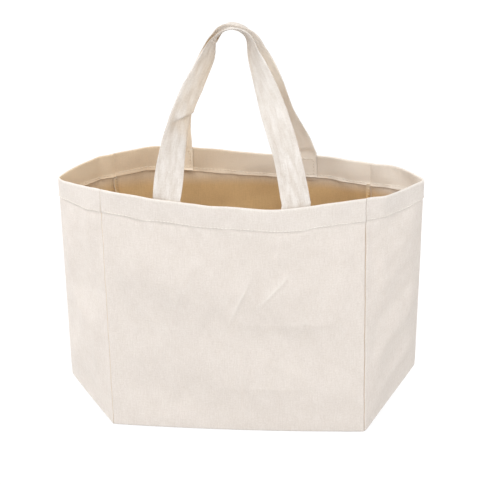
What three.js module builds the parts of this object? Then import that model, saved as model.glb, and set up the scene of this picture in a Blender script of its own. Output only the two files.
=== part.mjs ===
// Cotton lunch bag with two strap handles, standing open.
// Sizes are in millimetres. +Z is up, the front faces -Y and X runs across the front.
import * as THREE from "three";

// Driving sizes of the cloth body
const bottomWidth = 224; // front panel along the base, between its seams
const topWidth = 228; // front panel at the rim, between its seams
const rimHeight = 220; // base to rim
const bottomDepth = 110; // base, front to back
const topDepth = 85; // rim, front seam to back seam
const frontBow = 28; // how far the front rim bulges past its seams
const backBow = 18; // the same at the back
const baseBow = 4; // the same along the base
const bowStart = 0.15; // share of the height where the bulge begins to grow
const creaseOutTop = 45; // side crease past the seams at the rim
const creaseOutFold = 41.5; // side crease past the seams at its lower fold
const leftFoldHeight = 24; // where the left side folds under to the base
const rightFoldHeight = 42; // the same on the right side

// Driving sizes of the sewing
const canvas = 0.8; // thickness of one layer of cloth
const gap = 0.3; // left between pieces that touch
const hemHeight = 22; // turned-in top edge
const hemLayerPitch = 1.25; // wall to turned-in layer, between the middles of the cloth
const seamTrim = 0.5; // each panel stops this short of the seam line
const seamAllowance = 8; // overlocked edges that stand inside each seam
const seamThickness = 1.6; // two layers of cloth
const seamStart = 1.3; // seam line to the root of its allowance
const seamLean = 0.65; // slant of an upright allowance in plan, sideways per depth
const threadWidth = 0.8;
const threadThickness = 0.5;
const hemStitchDrop = 20; // rim to the line of hem stitches
const hemStitchStart = 0.03; // share of half a gusset that its hem stitches leave bare at the seam

// Driving sizes of the handles
const strapWidth = 25;
const strapThickness = 1.8; // four layers of cloth, pressed flat
const strapSpread = 56.3; // middle of a handle to the middle of each of its ends
const tailDepth = 21; // strap end sewn below the rim
const tailRise = 0.6; // strap end that stays flat above the rim
const tailStitchMargin = 2.5; // edge of a strap end to its stitches
const bendHeight = 8; // rim to the line where the strap bends
const bendSquare = 1.2; // strap end that lies square to the bag under its bend
const bendRoot = 1.5; // strap that reaches below its bend line
const legSettle = 0.1; // share of a leg's height over which it leaves the bend line square

// Each handle: where it is sewn, the top of its loop, how far that is turned towards level, and its legs
// A leg's points are [share of the loop's height, distance from the middle of the bag, turn in degrees].
const frontHandle = {
  name: "front",
  side: -1,
  bow: frontBow,
  shift: -0.7,
  top: { x: -2.5, y: -12.5, z: 361 },
  topRoll: 0,
  left: [
    [0.23, 51.8, 8],
    [0.4, 48, 30],
    [0.5, 44, 42],
    [0.65, 34.8, 46],
    [0.82, 24, 58],
    [0.93, 15.3, 76],
  ],
  right: [
    [0.24, 45.6, 0],
    [0.49, 36.4, 8],
    [0.66, 27.5, 40],
    [0.83, 18, 64],
    [0.94, 11.3, 77],
  ],
};
const rearHandle = {
  name: "rear",
  side: 1,
  bow: backBow,
  shift: -3.5,
  top: { x: -1.5, y: 13, z: 354.5 },
  topRoll: 18,
  left: [
    [0.2, 58, 4],
    [0.36, 54, 18],
    [0.54, 44.5, 36],
    [0.72, 32.5, 48],
    [0.85, 25, 58],
    [0.95, 16, 66],
  ],
  right: [
    [0.16, 42.4, 2],
    [0.33, 33, 10],
    [0.58, 27, 32],
    [0.74, 22, 46],
    [0.85, 16.6, 58],
    [0.95, 9.5, 66],
  ],
};

// Numbers of steps that round each sheet
const wallSteps = 8; // up a wall to its hem
const panelSteps = 14; // across the front or back
const facetSteps = 4; // across half a gusset
const seamSteps = 6; // up an upright seam
const baseSeamSteps = 10; // along a base seam
const tailSteps = 3; // up a strap end
const strapSteps = 4; // across a strap end
const loopSteps = 44; // along a loop

// Colours of the cloth and the thread
const canvasColour = 0xeee6da;
const innerColour = 0xe6dac6;
const threadColour = 0xf4eee2;

const { lerp, smoothstep, degToRad } = THREE.MathUtils;
const point = (x, y, z) => new THREE.Vector3(x, y, z);
const bag = new THREE.Group();

function material(colour) {
  return new THREE.MeshStandardMaterial({ color: colour, roughness: 0.9, metalness: 0 });
}

function addPiece(name, geometry, colour) {
  const mesh = new THREE.Mesh(geometry, material(colour));
  mesh.name = name;
  bag.add(mesh);
}

function steps(from, to, count) {
  return Array.from({ length: count + 1 }, (_, i) => lerp(from, to, i / count));
}

// A sheet is a list of points, which neighbouring triangles share, and the triangles between them.
function newSheet() {
  return { points: [], triangles: [], places: new Map() };
}

function sharedIndex(sheet, p) {
  const key = [p.x, p.y, p.z].map((v) => Math.round(v * 1000)).join(" ");
  if (!sheet.places.has(key)) {
    sheet.places.set(key, sheet.points.length);
    sheet.points.push(p);
  }
  return sheet.places.get(key);
}

function addTriangle(sheet, a, b, c) {
  if (a !== b && b !== c && c !== a) sheet.triangles.push([a, b, c]);
}

function addGrid(sheet, rows) {
  const index = rows.map((row) => row.map((p) => sharedIndex(sheet, p)));
  for (let i = 0; i + 1 < rows.length; i++) {
    for (let j = 0; j + 1 < rows[i].length; j++) {
      const [a, b, c, d] = [index[i][j], index[i][j + 1], index[i + 1][j + 1], index[i + 1][j]];
      addTriangle(sheet, a, b, c);
      addTriangle(sheet, a, c, d);
    }
  }
  return sheet;
}

function sheetNormals(sheet) {
  const normals = sheet.points.map(() => point(0, 0, 0));
  for (const corners of sheet.triangles) {
    const [a, b, c] = corners.map((i) => sheet.points[i]);
    const face = b.clone().sub(a).cross(c.clone().sub(a)).normalize();
    corners.forEach((i) => normals[i].add(face));
  }
  return normals.map((n) => n.normalize());
}

// A closed solid with the sheet in the middle of its thickness.
function thicken(sheet, thickness) {
  const normals = sheetNormals(sheet);
  const count = sheet.points.length;
  const offset = (distance) => sheet.points.map((p, i) => p.clone().addScaledVector(normals[i], distance));
  const corners = [...offset(thickness / 2), ...offset(-thickness / 2)];
  const faces = [];
  const edges = new Map();
  for (const [a, b, c] of sheet.triangles) {
    faces.push([a, b, c], [c + count, b + count, a + count]);
    [[a, b], [b, c], [c, a]].forEach(([from, to]) => {
      if (!edges.delete(`${to} ${from}`)) edges.set(`${from} ${to}`, [from, to]);
    });
  }
  for (const [from, to] of edges.values()) {
    faces.push([to, from, from + count], [to, from + count, to + count]);
  }
  const geometry = new THREE.BufferGeometry().setFromPoints(corners);
  geometry.setIndex(faces.flat());
  geometry.computeVertexNormals();
  return geometry;
}

// Outline of the bag at a height: half width and half depth of its seams, and the bulge of a panel
const halfWidth = (z) => lerp(bottomWidth, topWidth, z / rimHeight) / 2;
const halfDepth = (z) => lerp(bottomDepth, topDepth, z / rimHeight) / 2;
const bulge = (z, bow) => lerp(baseBow, bow, smoothstep(z / rimHeight, bowStart, 1));

// A point of the front (side -1) or back (side 1) wall, moved inwards by inset.
function wallPoint(side, bow, x, z, inset = 0) {
  const across = x / halfWidth(z);
  const y = halfDepth(z) + bulge(z, bow) * (1 - across * across);
  const slope = (-2 * bulge(z, bow) * across) / halfWidth(z);
  const inwards = new THREE.Vector2(slope, -1).normalize().multiplyScalar(inset);
  return point(x + inwards.x, side * (y + inwards.y), z);
}

// Heights of a wall's rows up to the rim, and then down inside the turned-in hem
const wallFoot = canvas / 2;
const hemFold = hemLayerPitch / 2;
const wallRows = steps(wallFoot, rimHeight - hemHeight, wallSteps).map((z) => [z, 0]);
const hemRows = [
  [rimHeight - hemHeight / 2, 0],
  [rimHeight - hemFold, 0],
  [rimHeight, hemFold],
  [rimHeight - hemFold, hemLayerPitch],
  [rimHeight - hemHeight, hemLayerPitch],
];
const panelRows = [...wallRows, ...hemRows];

const wallColumns = (z) => steps(seamTrim - halfWidth(z), halfWidth(z) - seamTrim, panelSteps);

function wallPanel(side, bow) {
  const rows = panelRows.map(([z, inset]) => wallColumns(z).map((x) => wallPoint(side, bow, x, z, inset)));
  if (side > 0) rows.forEach((row) => row.reverse());
  return thicken(addGrid(newSheet(), rows), canvas);
}

// One side: the crease leans out of the seams, and below its fold a triangle runs in to the base
const cornerPoint = (across, side, z) => point(across * halfWidth(z), side * halfDepth(z), z);

function creasePoint(across, foldHeight, z) {
  const rise = (z - foldHeight) / (rimHeight - foldHeight);
  return point(across * (halfWidth(z) + lerp(creaseOutFold, creaseOutTop, rise)), 0, z);
}

// Moves a point of a side facet into the bag by inset, square to the facet in plan.
function facetInset(p, across, side, inset) {
  const facet = new THREE.Vector2(creaseOutTop, topDepth / 2).normalize();
  return point(p.x - across * facet.y * inset, p.y - side * facet.x * inset, p.z);
}

// A row of one facet from its seam (u = 0) to the crease (u = 1), where w climbs from 0 to 1.
function facetPoint(across, side, foldHeight, u, w, inset = 0) {
  const seamZ = lerp(wallFoot, rimHeight, w);
  const creaseZ = lerp(foldHeight, rimHeight, w);
  const seam = cornerPoint(across, side, seamZ);
  const crease = creasePoint(across, foldHeight, creaseZ);
  const p = seam.clone().lerp(crease, lerp(seamTrim / seam.distanceTo(crease), 1, u));
  if (inset === 0) return p;
  const moved = facetInset(p, across, side, inset);
  if (u === 1) moved.set(crease.x - across * inset * Math.SQRT2, 0, p.z);
  return moved;
}

const climb = (z) => (z - wallFoot) / (rimHeight - wallFoot);
const facetColumns = steps(0, 1, facetSteps);

function facetRows(across, side, foldHeight) {
  const wall = steps(0, climb(rimHeight - hemHeight), wallSteps).map((w) => [w, 0]);
  const hem = hemRows.map(([z, inset]) => [climb(z), inset]);
  return [...wall, ...hem].map(([w, inset]) =>
    facetColumns.map((u) => facetPoint(across, side, foldHeight, u, w, inset)),
  );
}

function gussetPanel(across, foldHeight) {
  const sheet = newSheet();
  const facing = across < 0 ? [1, -1] : [-1, 1];
  const [first, second] = facing.map((side) => facetRows(across, side, foldHeight));
  addGrid(sheet, first);
  addGrid(sheet, second.map((row) => [...row].reverse()));
  // The triangle under the fold, as a fan of rows that shrink from the base up to the fold
  const lower = facetColumns.map((u, i) => {
    const [from, to] = [first[0][i], second[0][i]];
    return facetColumns.map((v) => from.clone().lerp(to, v));
  });
  addGrid(sheet, lower);
  return thicken(sheet, canvas);
}

function bottomPanel() {
  const inset = canvas / 2 + gap;
  const columns = steps(-1, 1, panelSteps).map((u) => u * (halfWidth(0) - seamTrim - inset));
  const edge = (side, x) => {
    const p = wallPoint(side, side < 0 ? frontBow : backBow, x, 0, inset);
    return p.setZ(canvas / 2);
  };
  const rows = [-1, 1].map((side) => columns.map((x) => edge(side, x)));
  return thicken(addGrid(newSheet(), rows), canvas);
}

// Overlocked edges that stand inside an upright seam, along the line that halves its corner
function uprightSeam(across, side) {
  const from = seamAllowance + canvas * 3;
  const to = rimHeight - hemHeight - canvas;
  const inwards = point(-across * seamLean, -side, 0).normalize();
  const rows = steps(from, to, seamSteps).map((z) => {
    const corner = cornerPoint(across, side, z);
    return [seamStart, seamStart + seamAllowance].map((d) => corner.clone().addScaledVector(inwards, d));
  });
  return thicken(addGrid(newSheet(), rows), seamThickness);
}

// The same along the base of the front or back, where it stands up at a slant
function baseSeam(side, bow) {
  const reach = halfWidth(0) - 2 * seamAllowance;
  const rows = steps(-reach, reach, baseSeamSteps).map((x) => {
    const foot = wallPoint(side, bow, x, wallFoot, seamStart).setZ(canvas + seamStart);
    const tip = wallPoint(side, bow, x, wallFoot, seamStart + seamAllowance * Math.SQRT1_2);
    return [foot, tip.setZ(foot.z + seamAllowance * Math.SQRT1_2)];
  });
  return thicken(addGrid(newSheet(), rows), seamThickness);
}

function baseEndSeam(across) {
  const reach = halfDepth(0) - 2 * seamAllowance;
  const rise = seamAllowance * Math.SQRT1_2;
  const footX = across * (halfWidth(0) - seamStart - seamTrim);
  const rows = [-reach, reach].map((y) => {
    const foot = point(footX, y, canvas + seamStart);
    return [foot, point(footX - across * rise, y, foot.z + rise)];
  });
  return thicken(addGrid(newSheet(), rows), seamThickness);
}

// Stitches of the hem, as one flat thread along each panel
const threadInset = -(canvas / 2 + gap + threadThickness / 2);
const hemStitchRows = [-1, 1].map((end) => rimHeight - hemStitchDrop + (end * threadWidth) / 2);

function wallHemStitch(side, bow) {
  const rows = hemStitchRows.map((z) => wallColumns(z).map((x) => wallPoint(side, bow, x, z, threadInset)));
  if (side > 0) rows.forEach((row) => row.reverse());
  return thicken(addGrid(newSheet(), rows), threadThickness);
}

function gussetHemStitch(across, foldHeight) {
  const columns = steps(hemStitchStart, 1, facetSteps);
  const rows = hemStitchRows.map((z) => {
    const half = (side) =>
      columns.map((u) => facetPoint(across, side, foldHeight, u, climb(z), threadInset));
    return [...half(-1), ...half(1).reverse().slice(1)];
  });
  return thicken(addGrid(newSheet(), rows), threadThickness);
}

// Handle ends: sewn flat inside the hem, then turned square to the bag up to the bend line
const tailInset = hemLayerPitch + canvas / 2 + gap + strapThickness / 2;
const bendZ = rimHeight + bendHeight;
const tailTop = bendZ - Math.hypot(bendRoot, strapThickness / 2) - gap;

function tailMiddle({ side, bow, shift }, across) {
  return wallPoint(side, bow, shift + across * strapSpread, rimHeight, tailInset);
}

// The bend line of a handle lies halfway between the depths of its two ends.
const bendY = (handle) => (tailMiddle(handle, -1).y + tailMiddle(handle, 1).y) / 2;

function tailPoint(handle, across, offset, z) {
  const x = tailMiddle(handle, across).x + offset;
  const flat = wallPoint(handle.side, handle.bow, x, Math.min(z, rimHeight), tailInset).setZ(z);
  const square = point(x, bendY(handle), z);
  return flat.lerp(square, smoothstep(z, rimHeight + tailRise, tailTop - bendSquare));
}

function handleTail(handle, across) {
  const sewn = steps(rimHeight - tailDepth, rimHeight + tailRise, tailSteps);
  const heights = [...sewn, tailTop - bendSquare, tailTop];
  const offsets = steps(-strapWidth / 2, strapWidth / 2, strapSteps);
  const rows = heights.map((z) => offsets.map((offset) => tailPoint(handle, across, offset, z)));
  return thicken(addGrid(newSheet(), rows), strapThickness);
}

// Stitches that hold a handle end, as a thin frame on its inner face
function tailStitch(handle, across) {
  const lift = tailInset + strapThickness / 2 + gap + threadThickness / 2;
  const [low, high] = [rimHeight - hemStitchDrop, rimHeight - tailStitchMargin];
  const wide = strapWidth / 2 - tailStitchMargin;
  const middleX = tailMiddle(handle, across).x;
  const frame = (shrink) =>
    [[-1, 0], [1, 0], [1, 1], [-1, 1], [-1, 0]].map(([u, v]) => {
      const x = middleX + u * (wide - shrink);
      const z = v ? high - shrink : low + shrink;
      return wallPoint(handle.side, handle.bow, x, z, lift);
    });
  return thicken(addGrid(newSheet(), [frame(0), frame(threadWidth)]), threadThickness);
}

// Middle line of a loop, from its left end over the top to its right end, with the turn at each point
function loopMiddleLine(handle) {
  const { top, topRoll, left, right } = handle;
  const leg = (across, points) => {
    const foot = [0, across * tailMiddle(handle, across).x, 0];
    return [foot, ...points].map(([share, out, turn]) => ({
      turn,
      place: point(across * out, lerp(bendY(handle), top.y, share), lerp(bendZ, top.z, share)),
    }));
  };
  const summit = { turn: 90 - topRoll, place: point(top.x, top.y, top.z) };
  const points = [...leg(-1, left), summit, ...leg(1, right).reverse()];
  const curve = new THREE.CatmullRomCurve3(points.map((p) => p.place), false, "centripetal");
  return { curve, turns: points.map((p) => degToRad(p.turn)) };
}

function turnAt({ curve, turns }, t) {
  const along = curve.getUtoTmapping(t) * (turns.length - 1);
  const index = Math.min(Math.floor(along), turns.length - 2);
  return lerp(turns[index], turns[index + 1], along - index);
}

// Handle loop: a flat strap along a leaning arch, which turns from facing outwards to facing up
function handleLoop(handle) {
  const { side, top } = handle;
  const line = loopMiddleLine(handle);
  const plane = point(0, top.y - bendY(handle), top.z - bendZ).normalize();
  const outwards = point(0, side * plane.z, -side * plane.y);
  const rows = steps(0, 1, loopSteps).map((t) => {
    const middle = line.curve.getPointAt(t);
    const share = (middle.z - bendZ) / (top.z - bendZ);
    const square = line.curve.getTangentAt(t).cross(outwards).multiplyScalar(-side);
    const level = point(t < 0.5 ? 1 : -1, 0, 0);
    const inside = level.lerp(square, smoothstep(share, 0, legSettle)).normalize();
    const turn = turnAt(line, t);
    const across = inside.multiplyScalar(Math.cos(turn)).addScaledVector(outwards, Math.sin(turn));
    return [-1, 0, 1].map((e) => middle.clone().addScaledVector(across, (e * strapWidth) / 2));
  });
  const root = rows[0].map((p) => p.clone().setZ(bendZ - bendRoot));
  const end = rows[loopSteps].map((p) => p.clone().setZ(bendZ - bendRoot));
  return thicken(addGrid(newSheet(), [root, ...rows, end]), strapThickness);
}

// Pieces
const walls = [
  ["front", -1, frontBow],
  ["back", 1, backBow],
];
const ends = [
  ["left", -1, leftFoldHeight],
  ["right", 1, rightFoldHeight],
];

for (const [name, side, bow] of walls) {
  addPiece(`${name}_panel`, wallPanel(side, bow), canvasColour);
  addPiece(`${name}_hem_stitch`, wallHemStitch(side, bow), threadColour);
  addPiece(`${name}_base_seam`, baseSeam(side, bow), innerColour);
}
for (const [name, across, foldHeight] of ends) {
  addPiece(`${name}_gusset`, gussetPanel(across, foldHeight), canvasColour);
  addPiece(`${name}_hem_stitch`, gussetHemStitch(across, foldHeight), threadColour);
  addPiece(`${name}_base_seam`, baseEndSeam(across), innerColour);
}
addPiece("bottom_panel", bottomPanel(), canvasColour);
for (const [wallName, side] of walls) {
  for (const [endName, across] of ends) {
    addPiece(`${wallName}_${endName}_seam`, uprightSeam(across, side), innerColour);
  }
}

for (const handle of [frontHandle, rearHandle]) {
  addPiece(`${handle.name}_handle_loop`, handleLoop(handle), canvasColour);
  for (const [endName, across] of ends) {
    addPiece(`${handle.name}_handle_${endName}_tail`, handleTail(handle, across), canvasColour);
    addPiece(`${handle.name}_handle_${endName}_stitch`, tailStitch(handle, across), threadColour);
  }
}

export default bag;
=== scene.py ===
# Cotton lunch bag: its cloth, straps, sewing, light and camera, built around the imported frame.
# Shapes are worked out in millimetres, in the part's frame, and scaled to metres as each mesh is made.
import math

import bmesh
import bpy
import numpy as np
from mathutils import Matrix, Vector


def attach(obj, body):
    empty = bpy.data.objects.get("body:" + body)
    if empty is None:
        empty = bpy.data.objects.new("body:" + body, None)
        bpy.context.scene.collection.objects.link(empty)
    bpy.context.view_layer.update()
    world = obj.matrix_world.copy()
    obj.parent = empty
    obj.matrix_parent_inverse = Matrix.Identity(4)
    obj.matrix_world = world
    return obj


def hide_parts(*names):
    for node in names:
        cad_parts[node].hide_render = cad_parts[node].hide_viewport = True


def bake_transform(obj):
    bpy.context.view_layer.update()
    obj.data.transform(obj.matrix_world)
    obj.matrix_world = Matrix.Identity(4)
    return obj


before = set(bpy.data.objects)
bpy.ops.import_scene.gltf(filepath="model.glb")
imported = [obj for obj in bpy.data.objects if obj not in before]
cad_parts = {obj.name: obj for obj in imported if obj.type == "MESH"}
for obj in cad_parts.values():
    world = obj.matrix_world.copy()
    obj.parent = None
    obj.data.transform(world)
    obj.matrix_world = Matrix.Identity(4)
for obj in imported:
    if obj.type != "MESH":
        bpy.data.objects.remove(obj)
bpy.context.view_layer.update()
MM = 0.001
FRONT, BACK = -1, 1  # the side of a wall, as the sign of y
LEFT, RIGHT = -1, 1  # the end of the bag, as the sign of x
WALL_NAMES = {FRONT: "front", BACK: "back"}
END_NAMES = {LEFT: "left", RIGHT: "right"}

# Camera of the photograph
CAMERA_AZIMUTH = 5.76
CAMERA_ELEVATION = 24.39
CAMERA_ROLL = 0.98
CAMERA_DISTANCE = 2300
CAMERA_AIM = (2.3, 0, 156.3)
CAMERA_LENS = 193.4

# Studio, in metres and watts
FLOOR_REACH = 12.0
FLOOR_COLOUR = (0.8, 0.8, 0.8, 1)
WHITE = (1, 1, 1, 1)
FLOOR_GLOW = 1.08
GLOW_SHARE = 0.86  # of what the camera sees of the floor; the rest shows the shadow
SKY_LIGHT = 0.7
LAMP_AIM = (0, 0, 0.15)
LAMPS = [  # name, place, size across, power
    ("key", (-2.5, 0.7, 1.9), 1.8, 40),
    ("front", (-0.4, -2.0, 2.5), 2.2, 53),
    ("fill", (2.0, -1.6, 1.2), 1.8, 12),
    ("back", (1.2, 2.4, 1.1), 2.0, 26),
]

# Cloth body, as in the part
BOTTOM_WIDTH = 224
TOP_WIDTH = 228
RIM = 220
BOTTOM_DEPTH = 110
TOP_DEPTH = 85
BOW = {FRONT: 28, BACK: 18}  # how far the middle of a wall stands out at the rim
BASE_BOW = 4
BOW_START = 0.15
CREASE_OUT_TOP = 45
CREASE_OUT_FOLD = 41.5
FOLD = {LEFT: 24, RIGHT: 42}  # height of the fold at the foot of a side's crease
CANVAS = 0.8
HEM = 22
HEM_PITCH = 1.25
SEAM_LEAN = 0.65
SEAM_START = 1.3
SEAM_ALLOWANCE = 8
SIDE_HALF = math.hypot(CREASE_OUT_TOP, TOP_DEPTH / 2)  # seam to crease, along the rim of a side

# Finer shape of the cloth
CELL = 1.15  # size of the faces of a panel
FINE_CELL = 0.5  # the same along the hem stitches
SHARP = 48  # edges that turn by more degrees than this stay sharp
FOOT = CANVAS / 2
BOW_STRETCH = 1.02  # the cloth of a wall is this much longer than its plain width
SEAM_TRIM = 0.37  # panel edge to the seam line
SEAM_ROLL = 1.5  # width over which a panel rolls into its seam
ROLL_ROWS = 6
SEAM_DEPTH = {LEFT: 0.35, RIGHT: 1.7}  # how deep the panel edges lie in the upright seams
BASE_SEAM_DEPTH = 1.2  # the same along the base
FOLD_SEAM_DEPTH, FOLD_SEAM_ENDS = 0.72, 6  # the same where a side's folded triangle meets the base
HEM_SEAM_DEPTH, INNER_SEAM_DEPTH = 0.4, -0.2  # the same in the two layers of the hem
HEM_SEAM_RANGE = (RIM - HEM - 4, RIM - HEM + 3)  # height over which the seams change to that
CREASE_SOFTNESS = 0.07  # how round the side crease is, as a share of the half depth
FACET_BOW = 2.2  # the halves of a side bow out by this much
BASE_RISE = 0.5
FOLD_REACH = 4  # a side's fold is rounded this far from its line
FOLD_PASSES = 8
WELD = 0.02  # points closer than this become one

# Hem; places are heights over its stitches
HEM_STITCH = RIM - 20
HEM_DETAIL = 7  # close rows begin this far under the stitches, and end half as far over them
HEM_BEND_ROWS = 7
HEM_INNER_ROWS = 16
HEM_LIP = 0.6  # the doubled hem stands out over its stitches by this much
LIP_RISE = (-1.2, 0.3)
LIP_SETTLE = (0, 9)
LIP_LOSS = 0.4  # share of the lip that is lost as it settles
HEM_DRAWN = 0.45  # below the stitches the cloth is drawn in by this much
DRAWN_PLACE, DRAWN_WIDTH = -2.4, 2.0
DRAWN_UNEVEN = 0.4
HEM_PUCKER = 0.3
PUCKER_PLACE, PUCKER_WIDTH = -3, 4.5
PUCKER_SLANT = 0.5
WALL_PULL, SIDE_PULL = 0.5, 0.6  # how hard the hem is pulled
TAIL_PULL, TAIL_PULL_REACH = 0.7, 26  # it is pulled more where the strap ends are sewn to it

# How high the rim stands over its plain height: along each wall, and round each side from front to back
RIM_RISE = {
    FRONT: [(-114, 2.3), (-85, 3.2), (-45, 1.8), (0, 0.8), (45, -1.5), (85, -0.4), (114, -0.6)],
    BACK: [(-114, 1), (-85, 5.6), (-59, 3.6), (-30, 0.6), (0, -1.8), (30, -2.4), (70, -1.7), (114, -3)],
}
SIDE_RIM_RISE = {
    LEFT: [(-1, 2.3), (-0.5, -1.6), (0, -5.3), (0.4, -0.8), (1, 1)],
    RIGHT: [(-1, -0.6), (-0.4, -1.8), (0, 0), (0.3, 0.6), (1, -3)],
}
RIM_REACH = 90  # the rim's rise and fall fades out this far below it
# How far sideways the upright seams and the side creases are moved, at the base and at the rim
SEAM_SHIFT = {LEFT: (1.6, -2.1), RIGHT: (1.3, -0.5)}
CREASE_SHIFT = {LEFT: (-1.3, 0), RIGHT: (1, 2)}
SHIFT_START = 0.62  # share of the half width beyond which the shift sets in
SEAM_WAVER = [(0.12, 8.5, 0), (0.08, 3.9, 1)]  # waves along the upright seams as (height, length, phase)

# Waves in the cloth as (height, longest, shortest, how many), and the seeds that scatter them
WALL_WAVES = (1.2, 120, 20, 8)
SIDE_WAVES = (0.9, 90, 20, 8)
BASE_WAVES = (0.25, 80, 25, 8)
STRAP_WAVES = (0.25, 60, 11, 7)
HEM_LINE_WAVES = (0.4, 64, 16, 5)
PUCKER_WAVES = (1, 26, 6, 6)
WAVE_FALL = 1.3  # how quickly shorter waves become lower
WALL_SEED = {FRONT: 11, BACK: 23}
SIDE_SEED = {LEFT: 31, RIGHT: 47}
BASE_SEED = 61
WALL_HEM_SEED = {FRONT: 5, BACK: 6}
SIDE_HEM_SEED = {LEFT: 32, RIGHT: 48}
HEM_LINE_SEED = 200  # added to a hem's seed
# Distances from the base, the seams and the crease over which the waves die down
WALL_STILL = dict(base=30, seam=22)
SIDE_STILL = dict(base=40, seam=16, crease=18)
BASE_STILL = (0.2, 0.3)  # shares of the half width and half depth
SIDE_WAVES_END = 60  # distance from a side's crease beyond which there are none

# Creases as (start, end, width, height): on a wall in x and z, on a side in distance from its crease and z
CREASES = {
    FRONT: [
        ((15, 152), (-6, 103), 1.7, 1.3),
        ((50, 157), (20, 122), 1.8, 1.2),
        ((-29, 184), (-77, 44), 5, 1.4),
        ((40, 197), (39, 166), 2.0, 0.7),
        ((76, 197), (77, 174), 2.0, 0.6),
        ((86, 160), (87, 131), 2.2, 0.6),
        ((100, 105), (-8, 104), 4.5, 0.8),
        ((76, 41), (-22, 42), 3.5, 0.6),
        ((4, 98), (5, 3), 2.2, 0.6),
        ((-70, 92), (-58, 60), 2.5, 0.5),
        ((-104, 96), (-30, 99), 3.0, 0.35),
        ((60, 120), (84, 64), 4.5, 0.6),
        ((30, 142), (35, 112), 2.5, 0.5),
        ((64, 152), (67, 118), 3.0, 0.6),
        ((-60, 152), (-50, 120), 3.0, 0.5),
        ((20, 72), (60, 52), 3.0, 0.5),
        ((-92, 132), (-70, 95), 3.0, 0.5),
    ],
    BACK: [
        ((-60, 150), (-20, 95), 2.4, 0.8),
        ((30, 170), (62, 90), 4.0, 1.0),
        ((-95, 98), (95, 96), 2.6, 0.5),
        ((-2, 96), (0, 5), 2.4, 0.4),
        ((70, 80), (40, 30), 3.0, 0.7),
    ],
}
SIDE_CREASES = {LEFT: [], RIGHT: [((-42, 60), (-10, 150), 6, 0.6), ((-48, 100), (-22, 172), 5, 0.5)]}
SIDE_BANDS = {LEFT: [(92, 14, 1.4), (118, 12, -1.0)], RIGHT: []}  # level swells as (z, width, height)
CREASE_LIFT = 1.45  # the creases of the walls stand this much higher than listed
CREASE_FOOT = 6  # and die down this close to the base
CREASE_SLOPE = 2.2  # a crease is this much wider on its gentle side
CREASE_ROUND = 0.25  # how round its back is, as a share of its width
CREASE_ENDS = (-0.1, 0.35)  # share of its length over which a crease sets in

# Paling, from 0 to 1: rubbed wear, with a painted highlight on the rim and crease backs, and painted light on
# the inner hem
RIM_WEAR, RIM_WEAR_WIDTH = 0.4, 1.0
CREASE_WEAR, CREASE_WEAR_WIDTH = 0.32, 0.6
CREASE_SHARPNESS = (0.2, 0.6)  # height to width of a crease that shows no paling, and of one that shows it all
SIDE_CREASE_WEAR, SIDE_CREASE_WEAR_WIDTH = 0.5, 1.6
HEM_PAINTED_LIGHT = (0.32, 0.95)  # painted light on the inner layer of the hem, most of all at its right end
STRAP_TOP_WEAR = 0.2  # the loops are paler where they are held
HELD = (0.2, 0.7)  # share of a loop's height over which that sets in

# Straps, as in the part
STRAP_WIDTH = 25
STRAP_THICKNESS = 1.8
STRAP_SPREAD = 56.3
TAIL_DEPTH = 21
TAIL_GAP = 0.3
BEND = RIM + 8
TAIL_INSET = HEM_PITCH + CANVAS / 2 + TAIL_GAP + STRAP_THICKNESS / 2
LEG_SETTLE = 0.14

# Finer shape of the straps
STRAP_COLUMNS = 25
MIDDLE = STRAP_COLUMNS // 2
STRAP_ANGLE = np.linspace(-math.pi / 2, math.pi / 2, STRAP_COLUMNS)
STRAP_OFFSETS = STRAP_WIDTH / 2 * np.sin(STRAP_ANGLE)
STRAP_EDGE = 0.4  # how full the edges of a strap are
STRAP_SHARP = 60
STRAP_ROW = 1.3
TAIL_ROW = 1.2
STRAP_FOOT = RIM + 1.2  # a strap bends where it leaves the rim
TAIL_STOP = STRAP_FOOT - 0.8  # the rows of a strap end stop just below that
STRAP_WAVE_CROSS = 2.2  # waves are this much shorter across a strap than along it
FOOT_FOLD = 4  # height of a strap's fold over the rim
FOOT_FOLD_HEIGHT = 0.5
FOOT_FOLD_SLANT = 0.12
FOOT_FOLD_LENGTH, FOOT_FOLD_SOFT = 7, 0.8
LEG_FOLD = 288  # height of the fold in the front left leg
LEG_FOLD_HEIGHT = 2.2
LEG_FOLD_SLANT = 0.6
LEG_FOLD_ACROSS = (-10, 3)  # the fold sets in between these places across the strap
LEG_FOLD_LENGTH, LEG_FOLD_UNDER, LEG_FOLD_SOFT = 10, 6, 1
LEG_FOLD_ROLL = 0.4  # how far the cloth under the fold stands out, as a share of its height
BLEND_REACH = 7  # strap below and above its bend line
CUP_RANGE = (0.5, 0.85)  # share of a loop's height over which it becomes hollow along its middle
ARCH = (0.76, 0.92)  # share of a loop's height over which its legs become its arch
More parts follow.
